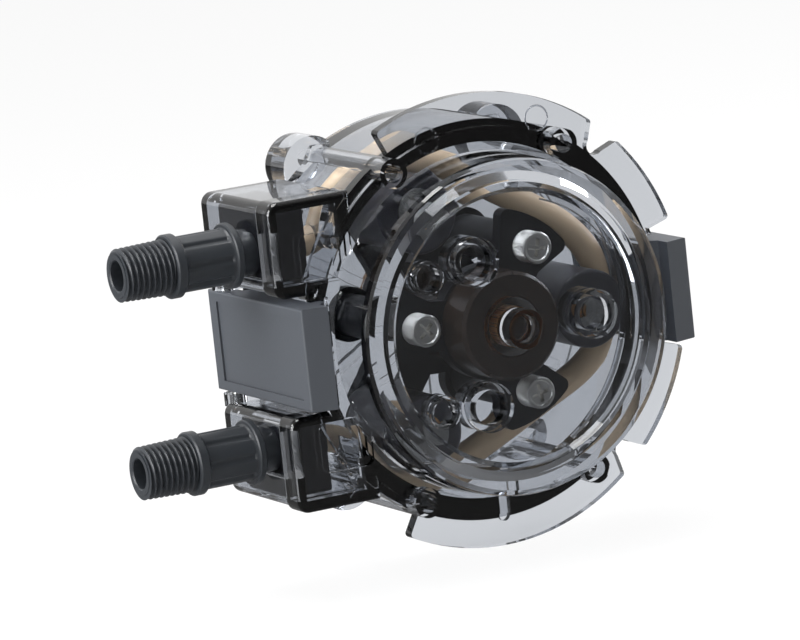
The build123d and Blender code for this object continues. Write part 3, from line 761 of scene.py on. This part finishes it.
# ---------------------------------------------------------------- tube
@dataclass
class PumpTube:
    """Elastomer tube that runs straight between the rollers and is flattened where each presses it.

    The shape is that of the rest position and stays so when the rotor turns.
    """

    materials: Materials
    depth: float = -27.3
    radius: float = 3.35
    squeezed: float = 1.2
    bulge: float = 1.25
    press_spread: float = 9.0
    section_points: int = 32
    roller_angles: tuple[float, ...] = (115.0, -5.0, -125.0)
    route: tuple[Place, ...] = (
        (-39.8, 23.6), (-36.4, 23.8), (-32.0, 26.4), (-25.0, 32.6), (-17.4, 37.3), (-8.5, 38.8), (2.0, 35.7),
        (12.0, 29.5), (22.0, 23.2), (32.0, 16.2), (38.3, 8.0), (41.0, -3.6), (39.6, -12.2), (33.0, -19.0),
        (22.0, -24.4), (10.0, -30.0), (-2.0, -35.2), (-11.5, -38.2), (-19.4, -36.2), (-24.5, -32.6),
        (-31.0, -26.6), (-36.0, -24.0), (-39.8, -23.6),
    )

    def centre_line(self, steps: int = 12) -> list[Place]:
        """Draw a smooth line through the route's points.

        Args:
            steps: Points between two of the route's.

        Returns:
            Points of x and z in millimetres.
        """
        points = list(self.route)
        points = [points[0], *points, points[-1]]
        line = []
        for a, b, c, d in zip(points, points[1:], points[2:], points[3:]):
            for k in range(steps):
                t = k / steps
                line.append(tuple(
                    0.5 * (2 * q + (r - p) * t + (2 * p - 5 * q + 4 * r - s) * t * t
                           + (3 * q - p - 3 * r + s) * t ** 3)
                    for p, q, r, s in zip(a, b, c, d)))
        line.append(points[-1])
        return line

    def flatness(self, x: float, z: float) -> float:
        """Work out how much the tube is pressed at a place on its line.

        Args:
            x: The place's x in millimetres.
            z: The place's z in millimetres.

        Returns:
            A share from 0 to 1.
        """
        angle = math.degrees(math.atan2(z, x))
        best = min(abs((angle - a + 180) % 360 - 180) for a in self.roller_angles)
        return math.exp(-(best / self.press_spread) ** 2)

    def build(self) -> None:
        """Skin the tube and let it stand for its plain solid."""
        line = self.centre_line()
        rows = []
        for index, (x, z) in enumerate(line):
            px, pz = line[max(0, index - 1)]
            nx, nz = line[min(len(line) - 1, index + 1)]
            length = math.hypot(nx - px, nz - pz)
            out = (-(nz - pz) / length, (nx - px) / length)
            press = self.flatness(x, z)
            thick = self.radius + (self.squeezed - self.radius) * press
            wide = self.radius + self.bulge * press
            ring = []
            for k in range(self.section_points):
                angle = 2 * math.pi * k / self.section_points
                across, deep = thick * math.cos(angle), wide * math.sin(angle)
                ring.append(((x + out[0] * across) * MM, (self.depth + deep) * MM,
                             (z + out[1] * across) * MM))
            rows.append(ring)
        piece = new_piece("pump_tube_skin", grid_surface(rows))
        self.materials.dress(piece, TUBE_ELASTOMER)
        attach(piece, "housing")
        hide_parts("pump_tube")
        LOG.info("pump_tube_skin: tube round the rollers")


# ---------------------------------------------------------------- moulded marks
@dataclass
class MouldMarks:
    """Thin raised lines on the clear cover: ejector rings, flow arrow and turning arrow."""

    materials: Materials
    flange_front: float = -45.0
    block_front: float = -46.5
    disc_front: float = -60.0
    line_radius: float = 0.2
    ejector_radius: float = 3.0
    ejectors: tuple[Place, ...] = ((-11.0, 45.0), (18.8, 45.8))
    flow_tip: Place = (-39.5, -33.4)
    flow_length: float = 7.1
    flow_barbs: tuple[Place, Place] = ((-1.9, 1.4), (-1.9, -1.6))
    turning_radius: float = 30.6
    turning_range: Place = (72.0, 28.0)
    turning_barbs: tuple[Place, Place] = ((-0.4, 2.4), (2.2, 1.4))

    def line(self, name: str, runs: Sequence[Sequence[Place]], front: float) -> None:
        """Make one piece of thin round lines on a plane that faces front.

        Args:
            name: The piece's name.
            runs: Polylines of x and z in millimetres.
            front: The plane's y in millimetres.
        """
        data = bpy.data.curves.new(name, "CURVE")
        data.dimensions = "3D"
        data.bevel_depth = self.line_radius * MM
        data.bevel_resolution = 2
        data.use_fill_caps = True
        for run in runs:
            spline = data.splines.new("POLY")
            spline.points.add(len(run) - 1)
            for point, (x, z) in zip(spline.points, run):
                point.co = (x * MM, front * MM, z * MM, 1.0)
        piece = bpy.data.objects.new(name, data)
        bpy.context.scene.collection.objects.link(piece)
        data.materials.append(self.materials.get(CLEAR_POLYCARBONATE))
        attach(piece, "housing")
        LOG.info("%s: raised lines", name)

    @staticmethod
    def arc(centre: Place, radius: float, start: float, end: float, steps: int = 36) -> list[Place]:
        """Draw an arc.

        Args:
            centre: Its centre, as x and z in millimetres.
            radius: Its radius in millimetres.
            start: Its first angle in degrees.
            end: Its last angle in degrees.
            steps: How many parts it has.

        Returns:
            Points of x and z.
        """
        angles = [math.radians(start + (end - start) * k / steps) for k in range(steps + 1)]
        return [(centre[0] + radius * math.cos(a), centre[1] + radius * math.sin(a)) for a in angles]

    @staticmethod
    def head(tip: Place, barbs: tuple[Place, Place]) -> list[Place]:
        """Draw an arrow's head.

        Args:
            tip: Where the arrow points, as x and z in millimetres.
            barbs: Where its two barbs end, from the tip.

        Returns:
            The end of one barb, the tip and the end of the other.
        """
        first, second = ((tip[0] + x, tip[1] + z) for x, z in barbs)
        return [first, tip, second]

    def build(self) -> None:
        """Make the ejector rings and the two arrows."""
        rings = [self.arc(centre, self.ejector_radius, 0.0, 360.0) for centre in self.ejectors]
        self.line("ejector_rings", rings, self.flange_front)
        tail = (self.flow_tip[0] - self.flow_length, self.flow_tip[1])
        flow = [[tail, self.flow_tip], self.head(self.flow_tip, self.flow_barbs)]
        self.line("flow_arrow", flow, self.block_front)
        sweep = self.arc((0.0, 0.0), self.turning_radius, *self.turning_range)
        self.line("turning_arrow", [sweep, self.head(sweep[-1], self.turning_barbs)], self.disc_front)


# ---------------------------------------------------------------- plain nodes
class Assembly:
    """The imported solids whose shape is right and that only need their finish."""

    FINISHES: dict[str, Finish] = {
        "rear_housing": CLEAR_POLYCARBONATE, "front_cover": CLEAR_POLYCARBONATE,
        "cover_bush": SINTERED_BRONZE, "rear_bush": SINTERED_BRONZE,
        "rotor_hub": HUB_ACETAL, "hub_set_screw": PIN_STEEL, "rotor_rear_plate": BLACK_ACETAL,
        "rotor_spider": BLACK_ACETAL, "rotor_posts": BLACK_ACETAL, "rotor_screws": SCREW_STEEL,
        "roller_axles": PIN_STEEL, "axle_clips": PIN_STEEL, "right_latch": LATCH_ABS,
        "left_latch": LATCH_ABS, "latch_pins": PIN_STEEL, "adaptor_clip_upper": BLACK_ACETAL,
        "adaptor_clip_lower": BLACK_ACETAL,
        "roller_1": TURNED_ACETAL, "roller_2": TURNED_ACETAL, "roller_3": TURNED_ACETAL,
        "roller_bush_1": SINTERED_BRONZE, "roller_bush_2": SINTERED_BRONZE, "roller_bush_3": SINTERED_BRONZE,
    }

    def __init__(self, materials: Materials, nodes: dict[str, bpy.types.Object]) -> None:
        """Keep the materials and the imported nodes."""
        self.materials = materials
        self.nodes = nodes

    def build(self) -> None:
        """Give each node its finish."""
        for name, finish in self.FINISHES.items():
            self.materials.dress(self.nodes[name], finish)
            LOG.info("%s: %s", name, finish.name)


def main() -> None:
    """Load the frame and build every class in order."""
    logging.basicConfig(level=logging.INFO, format="%(message)s")
    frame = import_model()
    materials = Materials()
    Studio().build()
    Assembly(materials, frame["nodes"]).build()
    for port in Port:
        TubeAdaptor(materials, port).build()
    RotorScrews(materials).build()
    MouldMarks(materials).build()
    PumpTube(materials).build()


if __name__ == "__main__":
    main()
